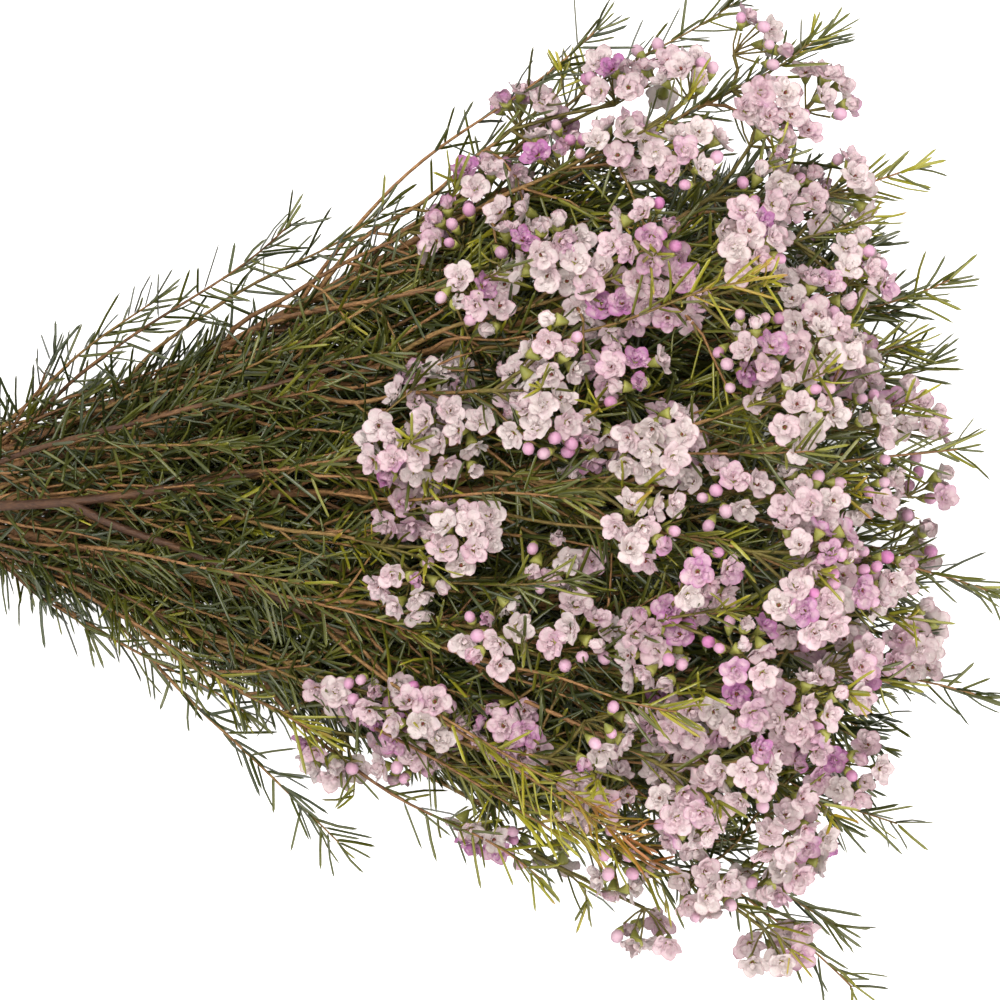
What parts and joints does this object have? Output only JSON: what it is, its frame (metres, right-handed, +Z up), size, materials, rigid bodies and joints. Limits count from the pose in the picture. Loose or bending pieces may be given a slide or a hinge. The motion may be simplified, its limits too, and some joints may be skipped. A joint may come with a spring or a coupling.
{
  "type": "bunch of waxflower stems",
  "caption": "Florist's bunch of double-flowered waxflower: tied woody stems fan out into needle-leaved twigs with umbels of small pale pink blooms.",
  "frame": {"origin": "centre of the bounding box at the surface that the bunch lies on", "axes": "+X from the cut ends to the flower heads, +Z up from the surface, +Y to the left as seen from the cut ends"},
  "size_m": [0.5434, 0.3722, 0.1885],
  "materials": {
    "stem": "matte",
    "flower": "matte",
    "band": "satin"
  },
  "bodies": {
    "root": {"band": "band", "spray_01": "flower", "spray_02": "flower", "spray_03": "flower", "spray_04": "flower", "spray_05": "flower", "spray_06": "flower", "spray_07": "flower", "spray_08": "flower", "spray_09": "flower", "spray_10": "flower", "spray_11": "flower", "spray_12": "flower", "spray_13": "flower", "spray_14": "flower", "spray_15": "flower", "spray_16": "flower", "spray_17": "flower", "spray_18": "flower", "spray_19": "flower", "spray_20": "flower", "spray_21": "flower", "spray_22": "flower", "spray_23": "flower", "spray_24": "flower", "spray_25": "flower", "spray_26": "flower", "spray_27": "flower", "spray_28": "flower", "spray_29": "flower", "spray_30": "flower", "spray_31": "flower", "spray_32": "flower", "spray_33": "flower", "spray_34": "flower", "spray_35": "flower", "spray_36": "flower", "spray_37": "flower", "spray_38": "flower", "spray_39": "flower", "spray_40": "flower", "spray_41": "flower", "spray_42": "flower", "stem_01": "stem", "stem_02": "stem", "stem_03": "stem", "stem_04": "stem", "stem_05": "stem", "stem_06": "stem", "stem_07": "stem", "stem_08": "stem", "stem_09": "stem", "stem_10": "stem"}
  },
  "joints": []
}
